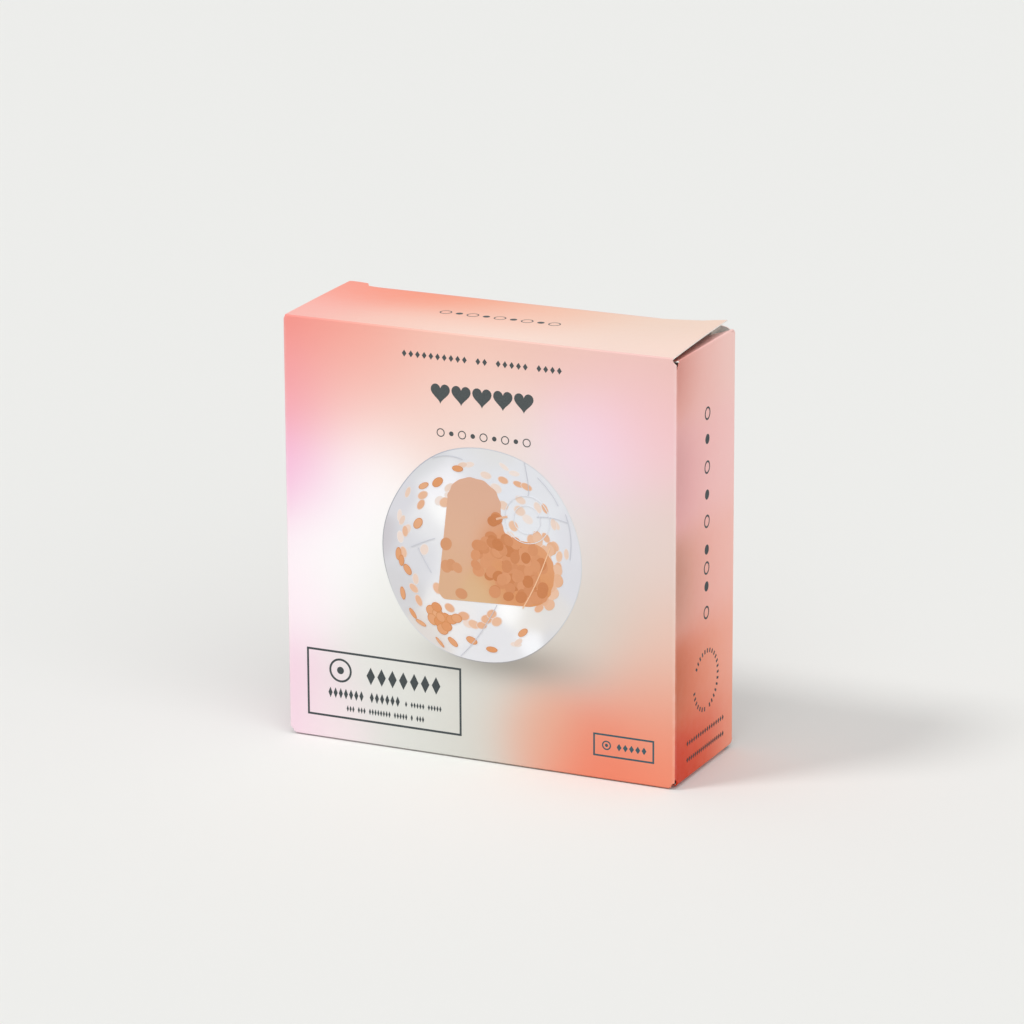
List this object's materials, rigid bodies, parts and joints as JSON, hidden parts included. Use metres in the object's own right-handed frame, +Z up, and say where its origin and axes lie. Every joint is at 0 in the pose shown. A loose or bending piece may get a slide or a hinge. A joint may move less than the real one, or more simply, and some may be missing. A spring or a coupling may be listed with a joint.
{
  "type": "boxed inflatable beach ball",
  "caption": "Upright tuck-end paperboard carton with hinged end panels, tuck and dust flaps, holding a clear inflatable beach ball folded flat around an inner heart.",
  "frame": {"origin": "middle of the rectangle that the carton stands on", "axes": "+Z up, the printed front faces -Y, +X to the right of a viewer who looks at the front"},
  "size_m": [0.175, 0.06, 0.18],
  "materials": {
    "printed_board": "satin-varnished print, coral to pink to pale green gradient outside, uncoated white inside",
    "plain_board": "uncoated white board",
    "clear_film": "clear soft vinyl film, glossy and creased, with loose confetti inside",
    "heart_film": "peach translucent vinyl film",
    "clear_moulding": "clear soft moulded vinyl",
    "patch_film": "clear vinyl on a white backing"
  },
  "bodies": {
    "carton": {"front_panel": "printed_board", "back_panel": "printed_board", "left_side_panel": "printed_board", "right_side_panel": "printed_board", "glue_flap": "plain_board"},
    "top_lid": {"lid_panel": "printed_board"},
    "top_tuck": {"top_tuck_flap": "printed_board"},
    "top_left_dust": {"top_left_dust_flap": "printed_board"},
    "top_right_dust": {"top_right_dust_flap": "printed_board"},
    "bottom_lid": {"bottom_panel": "printed_board"},
    "bottom_tuck": {"bottom_tuck_flap": "printed_board"},
    "bottom_left_dust": {"bottom_left_dust_flap": "printed_board"},
    "bottom_right_dust": {"bottom_right_dust_flap": "printed_board"},
    "folded_ball": {"ball_gore_1": "clear_film", "ball_gore_2": "clear_film", "ball_gore_3": "clear_film", "ball_gore_4": "clear_film", "ball_gore_5": "clear_film", "ball_gore_6": "clear_film", "inner_heart": "heart_film", "front_pole_cap": "clear_film", "back_pole_cap": "clear_film", "valve_body": "clear_moulding", "valve_tether": "clear_moulding", "repair_patch": "patch_film"},
    "valve_plug": {"valve_plug": "clear_moulding"}
  },
  "joints": [
    {"name": "top_lid_hinge", "type": "hinge", "parent": "carton", "child": "top_lid", "pos_m": [0, -0.03, 0.18], "axis": [1, 0, 0], "range_deg": [0, 180]},
    {"name": "top_tuck_fold", "type": "hinge", "parent": "top_lid", "child": "top_tuck", "pos_m": [0, 0.027, 0.18], "axis": [-1, 0, 0], "range_deg": [0, 36]},
    {"name": "top_left_dust_fold", "type": "hinge", "parent": "carton", "child": "top_left_dust", "pos_m": [-0.0875, 0, 0.179], "axis": [0, -1, 0], "range_deg": [0, 99]},
    {"name": "top_right_dust_fold", "type": "hinge", "parent": "carton", "child": "top_right_dust", "pos_m": [0.0875, 0, 0.179], "axis": [0, 1, 0], "range_deg": [0, 99]},
    {"name": "bottom_lid_hinge", "type": "hinge", "parent": "carton", "child": "bottom_lid", "pos_m": [0, -0.03, 0], "axis": [-1, 0, 0], "range_deg": [0, 180]},
    {"name": "bottom_tuck_fold", "type": "hinge", "parent": "bottom_lid", "child": "bottom_tuck", "pos_m": [0, 0.027, 0], "axis": [1, 0, 0], "range_deg": [0, 36]},
    {"name": "bottom_left_dust_fold", "type": "hinge", "parent": "carton", "child": "bottom_left_dust", "pos_m": [-0.0875, 0, 0.001], "axis": [0, 1, 0], "range_deg": [0, 99]},
    {"name": "bottom_right_dust_fold", "type": "hinge", "parent": "carton", "child": "bottom_right_dust", "pos_m": [0.0875, 0, 0.001], "axis": [0, -1, 0], "range_deg": [0, 99]},
    {"name": "ball_lift", "type": "slide", "parent": "carton", "child": "folded_ball", "axis": [0, 0, 1], "range_m": [0, 0.012]},
    {"name": "valve_plug_pull", "type": "slide", "parent": "folded_ball", "child": "valve_plug", "axis": [0, 0, 1], "range_m": [0, 0.008]}
  ],
  "couplings": [
    {"joint": "top_tuck_fold", "follows": "top_lid_hinge", "ratio": 0.2},
    {"joint": "top_left_dust_fold", "follows": "top_lid_hinge", "ratio": 0.55},
    {"joint": "top_right_dust_fold", "follows": "top_lid_hinge", "ratio": 0.55},
    {"joint": "bottom_tuck_fold", "follows": "bottom_lid_hinge", "ratio": 0.2},
    {"joint": "bottom_left_dust_fold", "follows": "bottom_lid_hinge", "ratio": 0.55},
    {"joint": "bottom_right_dust_fold", "follows": "bottom_lid_hinge", "ratio": 0.55}
  ]
}
